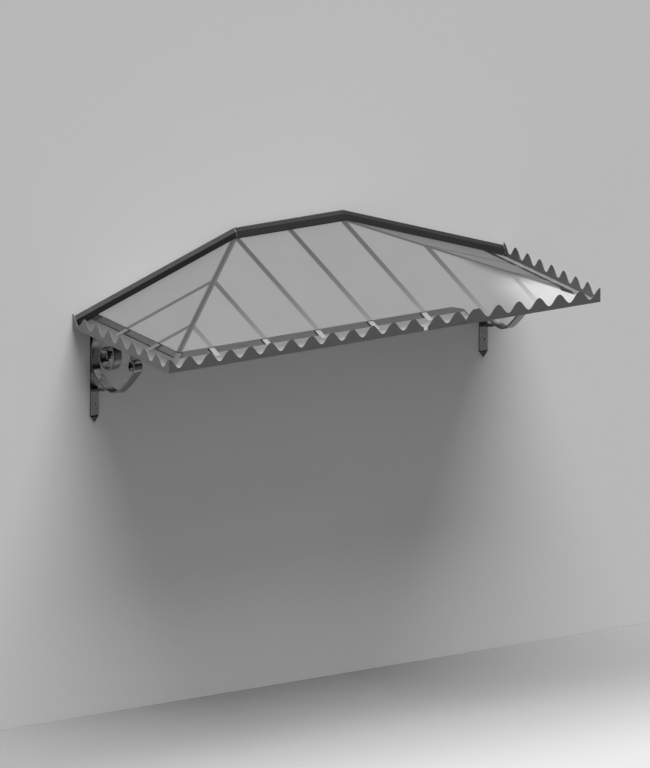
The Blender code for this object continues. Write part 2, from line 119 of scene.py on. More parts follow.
STEEL_COAT = Coat(0.35, 0.50, 0.20, 0.42, 500.0, 0.0004)
STRIP_COAT = Coat(0.35, 0.50, 0.18, 0.45, 450.0, 0.0004)
FLASHING_COAT = Coat(0.0, 0.25, 0.15, 0.50, 350.0, 0.0003)
FORGED_COAT = Coat(1.0, 0.50, 0.45, 0.28, 160.0, 0.0012)
ARM_COAT = Coat(0.0, 0.20, 0.25, 0.60, 300.0, 0.0004)
SHEET_COAT = Coat(0.0, 0.30, 0.07, 0.55, 900.0, 0.0002)
STAGE_COAT = Coat(0.0, 0.50, 0.0, 0.90, 0.0, 0.0)
SHEET_TRANSMISSION = 0.35
SHEET_IOR = 1.45

# Coat grain: slow clouds, and the share that the fine grain has in the tone
NOISE_MEAN = 0.5
CLOUD_SCALE = 7.0
CLOUD_DETAIL = 4.0
SPECK_SHARE = 0.6
ROUGHNESS_SWING = 0.15
BUMP_STRENGTH = 0.15

# Painted light on top faces: upward parts of the normal between which it sets in, and its
# patches
FACES_UP = (0.55, 0.85)
FORGED_FACES_UP = (0.5, 0.9)
PATCH_SCALE = 28.0
PATCH_LEAST = 0.85
PATCH_SWING = 0.3

# Painted light and shade: gains on the colours, by side where the light on the sides differs
PANE_GAINS = {"front": 1.0, "left": 1.0, "right": 0.6}
RAIL_GAINS = {"front": 0.5, "left": 0.29, "right": 0.05}
HOLLOW_GAINS = {"left": 1.0, "right": 3.6}
STRIP_GAINS = {          # upright face at the wall and at the corner, flange's dull part
    "front": (1.0, 1.0, 0.55),
    "left": (2.7, 2.7, 0.38),
    "right": (1.6, 2.5, 0.85),
}
FLASHING_GAINS = {       # front leg, sloping top
    "left": (0.4, 0.45),
    "ridge": (1.2, 0.6),
    "right": (1.2, 0.6),
}
SIDE_RAFTER_GAIN = 2.2
HIP_GAIN = 1.6
FORGED_UP_GAIN = 1.4
ARM_GAIN = 0.6
# Painted shade: the wall bars' pointed feet are painted darker
FOOT_GAIN = 0.35         # of the wall bars' darker pointed feet
FOOT_HEIGHT = 0.031
FOOT_SOFT = 0.002

# How the painted light and shade change over a strip and towards the eaves
FLANGE_SHADED = 0.058      # from the eave line, where a flange starts to pale and is pale
FLANGE_PALE = 0.020
SIDE_FLANGE_POWER = 2.2
RAFTER_POWER = 1.6
# Pale line along a cut in the flashing: partly the cut edge's own metal, partly a painted
# highlight
CUT_HALF = 0.0022        # half of the bare line along a cut in the flashing
CUT_SOFT = 0.0008
# Pale lines of the flashings, partly painted highlight: |X| at the ridge's height, and what it
# gains in each metre above
CUTS = {
    "left": (RIDGE / 2, math.tan(SIDE_ANGLE / 2)),
    "right": (HALF - FLASH_END, 0.0),
}
# Painted shade and painted highlight of a bent face: the normal where it shines, and how near
# others come to hollow and glint
GLINT_NORMAL = Vector((0.0, -0.5, 0.866))
GLINT_RAMPS = {"Hollow": (0.1, 0.45), "Glint": (0.90, 0.97)}

# Shade of a bar through the milky sheet. A rafter's runs from the ridge to the eaves.
HIP_SHADE = 0.62
RAFTER_SHADES = {"front": (0.68, 0.0), "side": (0.60, 0.50)}
RAFTER_REACH = {"front": 3.5, "side": 2.5}    # pitches to beyond the last rafter
SHADE_POWER = 2.2
BAR_SOFT = 0.001
# Painted highlight: the front sheet's pale corner, from where it starts to where it is full
CORNER_X = (0.60, 0.84)
CORNER_Y = (-0.50, -0.64)


class ShadeSpot(NamedTuple):
    """Painted shade spot in the front sheet along the right hip bar."""
    shade: float
    x: float             # middle
    half: float          # half of its length along X
    soft: float
    beside: float        # from the hip line to its middle
    across: float        # half of its width
    across_soft: float


# Painted shade: a soft patch of shade beside the right hip, and the side of the hip bar that
# lies in shade near the corner
SOFT_HIP_SHADE = ShadeSpot(0.50, 0.730, 0.090, 0.050, 0.0, 0.035, 0.030)
HIP_BAR_SIDE_SHADE = ShadeSpot(0.97, 0.949, 0.021, 0.003, 0.009, 0.009, 0.002)
BLACK = (0.0, 0.0, 0.0)

# Where the photograph was taken from
PHOTO_AZIMUTH = -30.57
PHOTO_ELEVATION = 16.37
PHOTO_SCALE = 237.0      # pixels to the metre
PHOTO_LONG_SIDE = 768
PHOTO_RIGHT = 36.75      # picture's middle, in pixels from the eave line at the wall
PHOTO_DOWN = 92.7
CAMERA_AWAY = 8.0
CAMERA_CLIP = 200.0

# Headings of the lights
KEY_HEADING = Vector((0.0, 0.26, -1.0))
FRONT_HEADING = Vector((0.0, 1.0, -0.55))
BACK_HEADING = Vector((0.0, -1.0, 0.0))
BACK_SOFTNESS = math.radians(6)     # angular size of the light from behind

TOUCHING = 0.005         # longest ray from the awning to which the backdrop is clear
BACKDROP_Y = 0.002       # just behind the wall's plane
# Painted shade: the floor is darker near the wall
FLOOR_DARK = 0.40        # from the wall, where the floor starts to pale and is pale
FLOOR_PALE = 1.80


class AwningStrips(PropertyGroup):
    pitch: FloatProperty(name="Wave pitch", description="Length of one wave",
                         default=0.100, unit="LENGTH")
    swing: FloatProperty(name="Wave swing", description="From the mean height to a crest",
                         default=0.0215, unit="LENGTH")
    mean: FloatProperty(name="Mean height", description="Mean height of the wavy wall",
                        default=0.038, unit="LENGTH")
    flange: FloatProperty(name="Flange", description="Level width of the flange",
                          default=0.060, unit="LENGTH")
    stations: IntProperty(name="Stations", description="Stations on each wave", default=32)
    left_length: FloatProperty(name="Left strip", description="Length of the longer strip",
                               default=1.250, unit="LENGTH")
    slot: FloatProperty(name="Slot", description="Open slot between the front strips",
                        default=0.020, unit="LENGTH")


class AwningScrolls(PropertyGroup):
    width: FloatProperty(name="Width", description="Width of the bent bar",
                         default=0.040, unit="LENGTH")
    thickness: FloatProperty(name="Thickness", description="Thickness of the bent bar",
                             default=0.008, unit="LENGTH")
    edge: FloatProperty(name="Edge", description="Rounding of the bar's edges",
                        default=0.0012, unit="LENGTH")


class AwningColours(PropertyGroup):
    pane: FloatVectorProperty(name="Panes", description="Milky sheets", subtype="COLOR",
                              default=(0.36, 0.36, 0.36))
    # Painted highlight: the front sheet's pale corner
    corner: FloatVectorProperty(name="Bleached corner", description="Front sheet's pale corner",
                                subtype="COLOR", default=(0.74, 0.74, 0.74))
    steel: FloatVectorProperty(name="Steel", description="Roof bars in the shade",
                               subtype="COLOR", default=(0.09, 0.09, 0.09))
    # Painted light: lit tone of the roof bars near the eaves and of the rails' tops
    highlit: FloatVectorProperty(name="Bare steel", description="Roof bars near the eaves",
                              subtype="COLOR", default=(0.45, 0.45, 0.45))
    # Painted light and shade: strip and flange are one sheet, the upright faces in a tone for
    # shade and the flange in a lit tone
    strip: FloatVectorProperty(name="Strip", description="Wavy strip's upright faces",
                               subtype="COLOR", default=(0.085, 0.085, 0.085))
    flange: FloatVectorProperty(name="Flange", description="Wavy strip's flange",
                                subtype="COLOR", default=(0.40, 0.40, 0.40))
    flashing: FloatVectorProperty(name="Flashing", description="Folded wall flashing",
                                  subtype="COLOR", default=(0.030, 0.030, 0.030))
    # Pale cut edges of the flashing: partly their own metal, partly a painted highlight
    cut: FloatVectorProperty(name="Cut edges", description="Bare edges of the flashing",
                             subtype="COLOR", default=(0.30, 0.30, 0.30))
    forged: FloatVectorProperty(name="Wall bars", description="Dark bars of the brackets",
                                subtype="COLOR", default=(0.09, 0.09, 0.09))
    bright: FloatVectorProperty(name="Scrolls", description="Flat sides of the bent bars",
                                subtype="COLOR", default=(0.25, 0.25, 0.25))
    # Painted shade and painted highlight of the bent faces: dark hollows and bright glints
    hollow: FloatVectorProperty(name="Hollows", description="Bent faces that look up or out",
                                subtype="COLOR", default=(0.05, 0.05, 0.05))
    glint: FloatVectorProperty(name="Glints", description="Bright bands across the bent faces",
                               subtype="COLOR", default=(1.0, 1.0, 1.0))


class AwningStage(PropertyGroup):
    floor: FloatVectorProperty(name="Floor", description="Pale floor", subtype="COLOR",
                               default=(0.62, 0.62, 0.62))
    # Painted shade: the floor's darker tone by the backdrop
    foot: FloatVectorProperty(name="Floor at the backdrop", description="Floor's darker strip",
                              subtype="COLOR", default=(0.32, 0.32, 0.32))
    shade: FloatVectorProperty(name="Floor bounce", description="Floor as other surfaces see it",
                               subtype="COLOR", default=(0.10, 0.10, 0.10))
    backdrop: FloatVectorProperty(name="Backdrop", description="Pale backdrop behind the awning",
                                  subtype="COLOR", default=(0.94, 0.94, 0.94))
    drop: FloatProperty(name="Floor drop", description="From the eave line down to the floor",
                        default=1.72, unit="LENGTH")
    reach: FloatProperty(name="Reach", description="How far floor and backdrop run each way",
                         default=40.0, unit="LENGTH")
    key: FloatProperty(name="Key light", description="Strength of the main light",
                       default=3.8)
    front_light: FloatProperty(name="Front light",
                               description="Strength of the low light from the front",
                               default=0.26)
    back_light: FloatProperty(name="Back light",
                              description="Strength of the light from behind the backdrop",
                              default=1.5)
    softness: FloatProperty(name="Softness",
                            description="Angular size of the main and the front light",
                            default=math.radians(43), subtype="ANGLE")
    fill: FloatProperty(name="Fill light", description="Strength of the surroundings",
                        default=0.05)
    shine: FloatProperty(name="Reflected light",
                         description="Surroundings as the eye and bright metal see them",
                         default=0.8)


def settings(name):
    return getattr(bpy.context.scene, name)


def scaled(colour, gain):
    return [gain * part for part in colour]


# Nodes

def add_node(tree, kind, **values):
    """A node with its plain properties set."""
    made = tree.nodes.new(kind)
    for key, value in values.items():
        setattr(made, key, value)
    return made


def feed(tree, value, target):
    """Give an input its value: another node's socket, a number or a colour."""
    if isinstance(value, bpy.types.NodeSocket):
        tree.links.new(value, target)
    elif isinstance(value, (int, float)):
        target.default_value = value
    else:
        target.default_value = (value[0], value[1], value[2], 1.0)


def feed_all(tree, values, made):
    for label, value in values.items():
        feed(tree, value, made.inputs[label])


def start_group(kind, name, inputs, outputs):
    """A node group with its named sockets. Returns it with the sockets that it is given
    and the node that takes its results."""
    group = bpy.data.node_groups.new(name, f"{kind}NodeTree")
    for direction, sockets in (("INPUT", inputs), ("OUTPUT", outputs)):
        for label, type_name in sockets.items():
            group.interface.new_socket(name=label, in_out=direction,
                                       socket_type=f"NodeSocket{type_name}")
    given = add_node(group, "NodeGroupInput").outputs
    result = add_node(group, "NodeGroupOutput")
    return group, given, result


def maths(tree, operation, *sides):
    """The result of a math node on sockets or numbers."""
    made = add_node(tree, "ShaderNodeMath", operation=operation)
    for side, target in zip(sides, made.inputs):
        feed(tree, side, target)
    return made.outputs[0]


def blend(tree, share, first, second):
    """A colour that is the first where the share is 0 and the second where it is 1."""
    made = add_node(tree, "ShaderNodeMix", data_type="RGBA")
    feed_all(tree, {"Factor": share, "A": first, "B": second}, made)
    return made.outputs["Result"]


def ramp(tree, value, start, full, shape="SMOOTHSTEP"):
    """0 up to the start, 1 from the full value on."""
    made = add_node(tree, "ShaderNodeMapRange", interpolation_type=shape)
    feed_all(tree, {"Value": value, "From Min": start, "From Max": full}, made)
    return made.outputs[0]


def near(tree, distance, half, soft):
    """1 where a distance is under half a width, 0 outside, with a soft edge."""
    return ramp(tree, maths(tree, "ABSOLUTE", distance), half + soft, half - soft)


def axes(tree, vector):
    """The three parts of a vector."""
    split = add_node(tree, "ShaderNodeSeparateXYZ")
    feed(tree, vector, split.inputs[0])
    return [split.outputs[axis] for axis in "XYZ"]


def object_place(tree):
    return add_node(tree, "ShaderNodeTexCoord").outputs["Object"]


def facing(tree):
    return add_node(tree, "ShaderNodeNewGeometry").outputs["Normal"]


def noise(tree, scale, detail=2.0):
    made = add_node(tree, "ShaderNodeTexNoise")
    feed_all(tree, {"Vector": object_place(tree), "Scale": scale, "Detail": detail}, made)
    return made.outputs["Fac"]


def down_slope(tree, height):
    """0 at the ridge, 1 at the eave line."""
    return ramp(tree, height, RIDGE_Z, EAVE_Z, "LINEAR")


# Shader node groups

def grain_group(name):
    """Fine grain and slow cloudy changes of tone over a colour."""
    group, given, result = start_group(
        "Shader", name,
        {"Colour": "Color", "Clouding": "Float", "Roughness": "Float", "Grain size": "Float"},
        {"Colour": "Color", "Roughness": "Float", "Height": "Float"})
    clouds = noise(group, CLOUD_SCALE, CLOUD_DETAIL)
    specks = noise(group, given["Grain size"])
    swing = maths(group, "SUBTRACT", clouds, NOISE_MEAN)
    speck = maths(group, "SUBTRACT", specks, NOISE_MEAN)
    speck = maths(group, "MULTIPLY", speck, SPECK_SHARE)
    both = maths(group, "ADD", swing, speck)
    gain = maths(group, "ADD", 1.0, maths(group, "MULTIPLY", both, given["Clouding"]))
    tint = add_node(group, "ShaderNodeVectorMath", operation="SCALE")
    feed(group, given["Colour"], tint.inputs[0])
    feed(group, gain, tint.inputs["Scale"])
    rough = maths(group, "ADD", given["Roughness"],
                  maths(group, "MULTIPLY", both, ROUGHNESS_SWING))
    feed_all(group, {"Colour": tint.outputs[0], "Roughness": rough, "Height": specks}, result)
    return group


def top_light_group(name):
    """Painted light: what faces up is painted paler, in patches, standing in for light from
    above.
    """
    group, given, result = start_group(
        "Shader", name,
        {"Colour": "Color", "Lit": "Color", "Start": "Float", "Full": "Float"},
        {"Colour": "Color"})
    upward = axes(group, facing(group))[2]
    thin = maths(group, "ADD", PATCH_LEAST,
                 maths(group, "MULTIPLY", noise(group, PATCH_SCALE), PATCH_SWING))
    mask = maths(group, "MULTIPLY", ramp(group, upward, given["Start"], given["Full"]), thin)
    feed(group, blend(group, mask, given["Colour"], given["Lit"]), result.inputs["Colour"])
    return group


def strip_group(name):
    """Painted light and shade of a wavy strip. Its upright face runs from one tone at the wall
    to another at the corner. Its flange is painted in shade further in, pales towards its folded
    edge and, with a power above 0, also from the wall to the corner."""
    group, given, result = start_group(
        "Shader", name,
        {"At wall": "Color", "At corner": "Color", "Shaded": "Color", "Pale": "Color",
         "From eave": "Float", "Power": "Float"},
        {"Face": "Color", "Flange": "Color"})
    out = maths(group, "DIVIDE", axes(group, object_place(group))[1], -DEPTH)
    fold = ramp(group, given["From eave"], FLANGE_SHADED, FLANGE_PALE)
    share = maths(group, "MULTIPLY", fold, maths(group, "POWER", out, given["Power"]))
    feed_all(group, {"Face": blend(group, out, given["At wall"], given["At corner"]),
                     "Flange": blend(group, share, given["Shaded"], given["Pale"])}, result)
    return group


def cut_group(name):
    """Paler metal along a line in |X| that leans with the height above the ridge: partly the cut
    edge's own metal, partly a painted highlight.
    """
    group, given, result = start_group(
        "Shader", name,
        {"Colour": "Color", "Highlit": "Color", "Start": "Float", "Lean": "Float"},
        {"Colour": "Color"})
    x, _, z = axes(group, object_place(group))
    lean = maths(group, "MULTIPLY", maths(group, "SUBTRACT", z, RIDGE_Z), given["Lean"])
    reach = maths(group, "SUBTRACT", maths(group, "ABSOLUTE", x), given["Start"])
    mask = near(group, maths(group, "SUBTRACT", reach, lean), CUT_HALF, CUT_SOFT)
    feed(group, blend(group, mask, given["Colour"], given["Highlit"]), result.inputs["Colour"])
    return group


def bent_group(name):
    """Flat sides, and hollows in painted shade with a painted highlight band where they turn up.
    """
    group, given, result = start_group(
        "Shader", name,
        {"Flat side": "Color", "Hollow": "Color", "Glint": "Color"}, {"Colour": "Color"})
    lean = add_node(group, "ShaderNodeVectorMath", operation="DOT_PRODUCT")
    feed(group, facing(group), lean.inputs[0])
    lean.inputs[1].default_value = GLINT_NORMAL
    tone = given["Flat side"]
    for label, (start, full) in GLINT_RAMPS.items():
        share = ramp(group, lean.outputs["Value"], start, full)
        tone = blend(group, share, tone, given[label])
    feed(group, tone, result.inputs["Colour"])
    return group


def bars_group(name):
    """How much the bars under a milky sheet darken it: 0 between bars, nearly 1 over them.
    Along is the place along the eave, where the rafters repeat as far as the reach. The
    other output is the distance from the hip line."""
    group, given, result = start_group(
        "Shader", name,
        {"Along": "Float", "Reach": "Float", "At ridge": "Float", "At eaves": "Float"},
        {"Shade": "Float", "From hip": "Float"})
    x, y, z = axes(group, object_place(group))
    outer = maths(group, "SUBTRACT", maths(group, "ABSOLUTE", x), RIDGE / 2)
    hip = maths(group, "ADD", maths(group, "MULTIPLY", outer, DEPTH / HIP_PLAN),
                maths(group, "MULTIPLY", y, SIDE_RUN / HIP_PLAN))
    over_hip = maths(group, "MULTIPLY", near(group, hip, BAR_HALF, BAR_SOFT), HIP_SHADE)
    cell = maths(group, "DIVIDE", given["Along"], RAFTER_PITCH)
    beside = maths(group, "SUBTRACT", cell, maths(group, "ROUND", cell))
    over = near(group, maths(group, "MULTIPLY", beside, RAFTER_PITCH), BAR_HALF, BAR_SOFT)
    within = maths(group, "LESS_THAN", maths(group, "ABSOLUTE", cell), given["Reach"])
    fade = maths(group, "POWER", down_slope(group, z), SHADE_POWER)
    change = maths(group, "SUBTRACT", given["At eaves"], given["At ridge"])
    shade = maths(group, "ADD", maths(group, "MULTIPLY", fade, change), given["At ridge"])
    over_rafter = maths(group, "MULTIPLY", maths(group, "MULTIPLY", over, within), shade)
    feed_all(group, {"Shade": maths(group, "MAXIMUM", over_hip, over_rafter),
                     "From hip": hip}, result)
    return group


def shared_group(name):
    """A node group, built when it is first used."""
    return bpy.data.node_groups.get(name) or SHARED_GROUPS[name](name)


def place_group(tree, name, values):
    """Place a shared group in a material. Returns its outputs."""
    made = add_node(tree, "ShaderNodeGroup", node_tree=shared_group(name))
    feed_all(tree, values, made)
    return made.outputs


# Materials

def start_material(name, coat):
    made = bpy.data.materials.new(name)
    made.use_nodes = True
    shader = made.node_tree.nodes["Principled BSDF"]
    feed_all(made.node_tree, {"Metallic": coat.metallic, "Roughness": coat.roughness,
                              "Specular IOR Level": coat.specular}, shader)
    return made, made.node_tree, shader


def add_grain(tree, shader, colour, coat):
    """Put the coat's grain between a colour and the shader."""
    grain = place_group(tree, "Coat grain", {
        "Colour": colour, "Clouding": coat.clouding, "Roughness": coat.roughness,
        "Grain size": coat.grain})
    bump = add_node(tree, "ShaderNodeBump")
    feed_all(tree, {"Strength": BUMP_STRENGTH, "Distance": coat.height,
                    "Height": grain["Height"]}, bump)
    feed_all(tree, {"Base Color": grain["Colour"], "Roughness": grain["Roughness"],
                    "Normal": bump.outputs["Normal"]}, shader)


def paint_top_light(tree, colour, lit_top, limits=FACES_UP):
    """The colour, painted paler where it faces up as painted light from above."""
    return place_group(tree, "Painted top light", {
        "Colour": colour, "Lit": lit_top, "Start": limits[0], "Full": limits[1]})["Colour"]


def rafter_material():
    """Bar steel with painted light: its top is painted paler more and more towards the eaves."""
    tones = settings("awning_colours")
    made, tree, shader = start_material("rafter_steel", STEEL_COAT)
    height = axes(tree, object_place(tree))[2]
    fade = maths(tree, "POWER", down_slope(tree, height), RAFTER_POWER)
    upper = blend(tree, fade, tones.steel, tones.highlit)
    add_grain(tree, shader, paint_top_light(tree, tones.steel, upper), STEEL_COAT)
    return made


def bar_material(name, upper):
    """Bar steel with its own tone on top, as painted light from above."""
    made, tree, shader = start_material(name, STEEL_COAT)
    tone = paint_top_light(tree, settings("awning_colours").steel, upper)
    add_grain(tree, shader, tone, STEEL_COAT)
    return made


def strip_material(side):
    """Paint of a wavy strip, with the side's own gains as painted light and shade."""
    tones = settings("awning_colours")
    at_wall, at_corner, shaded = STRIP_GAINS[side]
    made, tree, shader = start_material(f"strip_{side}", STRIP_COAT)
    x, y, _ = axes(tree, object_place(tree))
    across, size, power = (y, DEPTH, 0.0) if side == "front" else (x, HALF, SIDE_FLANGE_POWER)
    strip = place_group(tree, "Strip tones", {
        "At wall": scaled(tones.strip, at_wall), "At corner": scaled(tones.strip, at_corner),
        "Shaded": scaled(tones.flange, shaded), "Pale": tones.flange,
        "From eave": maths(tree, "SUBTRACT", size, maths(tree, "ABSOLUTE", across)),
        "Power": power})
    add_grain(tree, shader, paint_top_light(tree, strip["Face"], strip["Flange"]), STRIP_COAT)
    return made


def flashing_material(side):
    """Dark paint with its own gain on the front leg and on the sloping top as painted light and
    shade, and a pale line along a cut that is partly a painted highlight.
    """
    tones = settings("awning_colours")
    leg, top = FLASHING_GAINS[side]
    made, tree, shader = start_material(f"flashing_{side}", FLASHING_COAT)
    tone = paint_top_light(tree, scaled(tones.flashing, leg), scaled(tones.flashing, top))
    if side in CUTS:
        start, lean = CUTS[side]
        tone = place_group(tree, "Cut highlight", {
            "Colour": tone, "Highlit": tones.cut, "Start": start, "Lean": lean})["Colour"]
    add_grain(tree, shader, tone, FLASHING_COAT)
    return made


def forged_material():
    """Uncoated forged bar: streaky, painted paler where it faces up as painted light from above
    and darker at its pointed foot as painted shade.
    """
    colour = settings("awning_colours").forged
    made, tree, shader = start_material("forged_steel", FORGED_COAT)
    tone = paint_top_light(tree, colour, scaled(colour, FORGED_UP_GAIN), FORGED_FACES_UP)
    height = axes(tree, object_place(tree))[2]
    # Painted shade on the pointed foot
    foot_top = CAD_LOW.z + FOOT_HEIGHT
    foot = ramp(tree, height, foot_top, foot_top - FOOT_SOFT)
    tone = blend(tree, foot, tone, scaled(colour, FOOT_GAIN))
    add_grain(tree, shader, tone, FORGED_COAT)
    return made


def bent_material(side):
    """Uncoated steel of a scroll, with the side's own gain on the painted shade in its hollows.
    """
    tones = settings("awning_colours")
    made, tree, shader = start_material(f"bent_steel_{side}", FORGED_COAT)
    tone = place_group(tree, "Bent faces", {
        "Flat side": tones.bright, "Hollow": scaled(tones.hollow, HOLLOW_GAINS[side]),
        "Glint": tones.glint})["Colour"]
    add_grain(tree, shader, tone, FORGED_COAT)
    return made


def arm_material():
    """Matt dark paint of the arms, painted darker than the steel as painted shade, since they
    show through the open slots.
    """
    made, tree, shader = start_material("arm_painted_shade", ARM_COAT)
    add_grain(tree, shader, scaled(settings("awning_colours").steel, ARM_GAIN), ARM_COAT)
    return made


def with_shade_spots(tree, shade, x, hip):
    """The bars' shade with the front sheet's painted shade spots in it."""
    for shade_spot in (SOFT_HIP_SHADE, HIP_BAR_SIDE_SHADE):
        along = near(tree, maths(tree, "SUBTRACT", x, shade_spot.x), shade_spot.half, shade_spot.soft)
        across = near(tree, maths(tree, "ADD", hip, shade_spot.beside), shade_spot.across,
                      shade_spot.across_soft)
        spot = maths(tree, "MULTIPLY", maths(tree, "MULTIPLY", along, across), shade_spot.shade)
        shade = maths(tree, "MAXIMUM", shade, spot)
    return shade


def pane_material(side):
    """Milky sheet, darker where it lies on a bar and no light comes through it; the right sheet
    is painted darker as painted shade. The front sheet has painted shade spots, and its
    right-hand lower corner is painted pale as a painted highlight."""
    tones = settings("awning_colours")
    kind = "front" if side == "front" else "side"
    made, tree, shader = start_material(f"milky_sheet_{side}", SHEET_COAT)
    x, y, _ = axes(tree, object_place(tree))
    at_ridge, at_eaves = RAFTER_SHADES[kind]
    bars = place_group(tree, "Bars below", {
        "Along": x if kind == "front" else y, "Reach": RAFTER_REACH[kind],
        "At ridge": at_ridge, "At eaves": at_eaves})
    shade = bars["Shade"]
    clear = scaled(tones.pane, PANE_GAINS[side])
    if kind == "front":
        shade = with_shade_spots(tree, shade, x, bars["From hip"])
        corner = maths(tree, "MULTIPLY", ramp(tree, x, *CORNER_X), ramp(tree, y, *CORNER_Y))
        clear = blend(tree, corner, clear, tones.corner)
    add_grain(tree, shader, blend(tree, shade, clear, BLACK), SHEET_COAT)
    feed_all(tree, {"Transmission Weight": SHEET_TRANSMISSION, "IOR": SHEET_IOR}, shader)
    return made


def paint(obj, material):
    obj.data.materials.clear()
    obj.data.materials.append(material)


def dress(part, material):
    """Paint every node of the frame that has the part in its name."""
    found = [obj for name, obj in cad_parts.items() if part in name]
    if not found:
        raise RuntimeError(f"no node for {part}")
    for obj in found:
        paint(obj, material)


class AWNING_OT_roof_bars(Operator):
    """Give the rafters, hip bars, eave rails and bars on the wall their steel"""
    bl_idname = "awning.roof_bars"
    bl_label = "Roof bars"

    def execute(self, context):
        tones = settings("awning_colours")
        dress("front_rafter", rafter_material())
        # Painted light: side rafters, hips and ledgers take lighter copies of the steel on top
        jacks = bar_material("side_rafter_steel", scaled(tones.steel, SIDE_RAFTER_GAIN))
        dress("side_rafter", jacks)
        hips = bar_material("hip_steel", scaled(tones.steel, HIP_GAIN))
        dress("hip", hips)
        dress("ledger", hips)
        # Painted light and shade: each rail's top takes the lit tone with its side's gain
        for side, gain in RAIL_GAINS.items():
            steel = bar_material(f"{side}_rail_steel", scaled(tones.highlit, gain))
            dress(f"{side}_eave_rail", steel)
        return {"FINISHED"}


class AWNING_OT_panes(Operator):
    """Give the milky sheets their finish"""
    bl_idname = "awning.panes"
    bl_label = "Panes"

    def execute(self, context):
        for side in PANE_GAINS:
            dress(f"{side}_pane", pane_material(side))
        return {"FINISHED"}


class AWNING_OT_flashings(Operator):
    """Give the folded wall flashings their paint"""
    bl_idname = "awning.flashings"
    bl_label = "Flashings"

    def execute(self, context):
        for side in FLASHING_GAINS:
            dress(f"{side}_flashing", flashing_material(side))
        return {"FINISHED"}


class AWNING_OT_brackets(Operator):
    """Give the brackets' wall bars, ties, hangers and arms their finish"""
    bl_idname = "awning.brackets"
    bl_label = "Brackets"

    def execute(self, context):
        forged = forged_material()
        for part in ("wall_bar", "tie", "hanger"):
            dress(part, forged)
        dress("_arm", arm_material())
        return {"FINISHED"}


# Pieces from Geometry Nodes

def new_object(name, data):
    obj = bpy.data.objects.new(name, data)
    bpy.context.scene.collection.objects.link(obj)
    return obj


def give_input(modifier, name, value):
    for item in modifier.node_group.interface.items_tree:
        if item.item_type == "SOCKET" and item.in_out == "INPUT" and item.name == name:
            modifier[item.identifier] = value
            return
    raise RuntimeError(f"no input {name}")


def plain_mesh(source, name, transform):
    """Turn an object's evaluated shape into a plain mesh piece at the origin."""
    bpy.context.view_layer.update()
    graph = bpy.context.evaluated_depsgraph_get()
    mesh = bpy.data.meshes.new_from_object(source.evaluated_get(graph), depsgraph=graph)
    mesh.transform(transform)
    mesh.name = name
    for modifier in list(source.modifiers):
        source.modifiers.remove(modifier)
    bpy.data.objects.remove(source, do_unlink=True)
    return new_object(name, mesh)


def outward(mesh):
    """Merge doubles and point every face outwards."""
    bm = bmesh.new()
    bm.from_mesh(mesh)
    bmesh.ops.remove_doubles(bm, verts=bm.verts, dist=MERGE)
    bmesh.ops.recalc_face_normals(bm, faces=bm.faces)
    bm.to_mesh(mesh)
    bm.free()


def finish_piece(source, tree, values, name, node, crease, transform=Matrix()):
    """Run the named tree on a source, and let the result stand for its CAD node."""
    modifier = source.modifiers.new(tree, "NODES")
    modifier.node_group = shared_group(tree)
    for label, value in values.items():
        give_input(modifier, label, value)
    piece = plain_mesh(source, name, transform)
    outward(piece.data)
    piece.data.shade_smooth()
    piece.data.set_sharp_from_angle(angle=crease)
    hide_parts(node)
    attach(piece, "root")


def start_tree(name, sizes):
    """A Geometry Nodes tree with its sizes and its material as named inputs."""
    inputs = {"Geometry": "Geometry", **{label: "Float" for label in sizes},
              "Material": "Material"}
    return start_group("Geometry", name, inputs, {"Geometry": "Geometry"})


def close_tree(tree, geometry, material, result):
    """End a Geometry Nodes tree in Realize Instances and Set Material."""
    real = add_node(tree, "GeometryNodeRealizeInstances")
    finish = add_node(tree, "GeometryNodeSetMaterial")
    feed(tree, geometry, real.inputs["Geometry"])
    feed_all(tree, {"Geometry": real.outputs["Geometry"], "Material": material}, finish)
    feed(tree, finish.outputs["Geometry"], result.inputs["Geometry"])


def wave_tree(name):
    """Lift a strip's points along a cosine wave in X, each by its share in 'rise'."""
    tree, given, result = start_tree(name, ("Pitch", "Swing", "Mean", "Crest"))
    place = add_node(tree, "GeometryNodeInputPosition").outputs[0]
    rise = add_node(tree, "GeometryNodeInputNamedAttribute", data_type="FLOAT")
    rise.inputs["Name"].default_value = "rise"
    along = maths(tree, "SUBTRACT", axes(tree, place)[0], given["Crest"])
    turns = maths(tree, "DIVIDE", along, given["Pitch"])
    wave = maths(tree, "COSINE", maths(tree, "MULTIPLY", turns, 2 * math.pi))
    height = maths(tree, "ADD", maths(tree, "MULTIPLY", wave, given["Swing"]), given["Mean"])
    lift = add_node(tree, "ShaderNodeCombineXYZ")
    feed(tree, maths(tree, "MULTIPLY", height, rise.outputs["Attribute"]), lift.inputs["Z"])
    move = add_node(tree, "GeometryNodeSetPosition")
    feed_all(tree, {"Geometry": given["Geometry"], "Offset": lift.outputs[0]}, move)
    close_tree(tree, move.outputs["Geometry"], given["Material"], result)
    return tree


